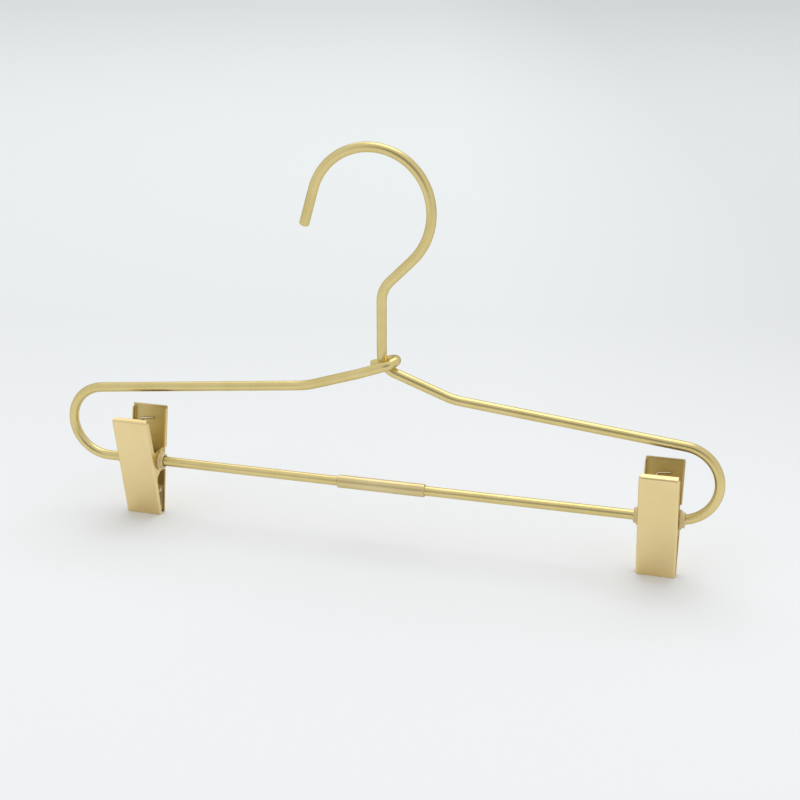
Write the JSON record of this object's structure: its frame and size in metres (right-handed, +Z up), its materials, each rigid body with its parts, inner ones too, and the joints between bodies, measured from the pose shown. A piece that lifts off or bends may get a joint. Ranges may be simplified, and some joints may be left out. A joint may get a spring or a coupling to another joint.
{
  "type": "skirt hanger",
  "caption": "Bent-wire skirt hanger: rail hook, end loops and a round lower bar that carries sprung metal clips, which slide, turn and squeeze open.",
  "frame": {"origin": "crest of the hook's inner face, where it sits on the rail, in the middle of the wire", "axes": "+X along the lower bar, away from the hook's opening; +Y to the back; +Z up"},
  "size_m": [0.32, 0.0262, 0.1917],
  "materials": {
    "gold_wire": "steel wire with a satin pale gold plating",
    "gold_sleeve": "swaged steel sleeve with the same pale gold plating",
    "gold_plate": "pressed steel sheet with a satin pale gold plating",
    "spring_steel": "hard-drawn spring wire, lightly plated",
    "clear_bush": "cloudy clear moulded plastic",
    "clear_pad": "soft clear vinyl"
  },
  "bodies": {
    "frame": {"hook_wire": "gold_wire", "left_wire": "gold_wire", "ferrule": "gold_sleeve"},
    "left_slider": {"left_outer_bush": "clear_bush", "left_inner_bush": "clear_bush"},
    "left_rear": {"left_rear_jaw": "gold_plate", "left_rear_pad": "clear_pad", "left_spring": "spring_steel"},
    "left_front": {"left_front_jaw": "gold_plate", "left_front_pad": "clear_pad"},
    "right_slider": {"right_outer_bush": "clear_bush", "right_inner_bush": "clear_bush"},
    "right_rear": {"right_rear_jaw": "gold_plate", "right_rear_pad": "clear_pad", "right_spring": "spring_steel"},
    "right_front": {"right_front_jaw": "gold_plate", "right_front_pad": "clear_pad"}
  },
  "joints": [
    {"name": "left_clip_slide", "type": "slide", "parent": "frame", "child": "left_slider", "axis": [1, 0, 0], "range_m": [-0.0095, 0.08935]},
    {"name": "left_clip_swing", "type": "hinge", "parent": "left_slider", "child": "left_rear", "pos_m": [-0.1183, 0, -0.1589], "axis": [1, 0, 0], "continuous": true},
    {"name": "left_jaw_squeeze", "type": "hinge", "parent": "left_rear", "child": "left_front", "pos_m": [-0.1183, 0, -0.1589], "axis": [-1, 0, 0], "range_deg": [0, 40], "stiffness_Nm_per_rad": 0.12, "springref_deg": -51.57, "deforming": ["left_spring"]},
    {"name": "right_clip_slide", "type": "slide", "parent": "frame", "child": "right_slider", "axis": [1, 0, 0], "range_m": [-0.09775, 0]},
    {"name": "right_clip_swing", "type": "hinge", "parent": "right_slider", "child": "right_rear", "pos_m": [0.13539, 0, -0.1589], "axis": [1, 0, 0], "continuous": true},
    {"name": "right_jaw_squeeze", "type": "hinge", "parent": "right_rear", "child": "right_front", "pos_m": [0.13539, 0, -0.1589], "axis": [-1, 0, 0], "range_deg": [0, 40], "stiffness_Nm_per_rad": 0.12, "springref_deg": -51.57, "deforming": ["right_spring"]}
  ]
}
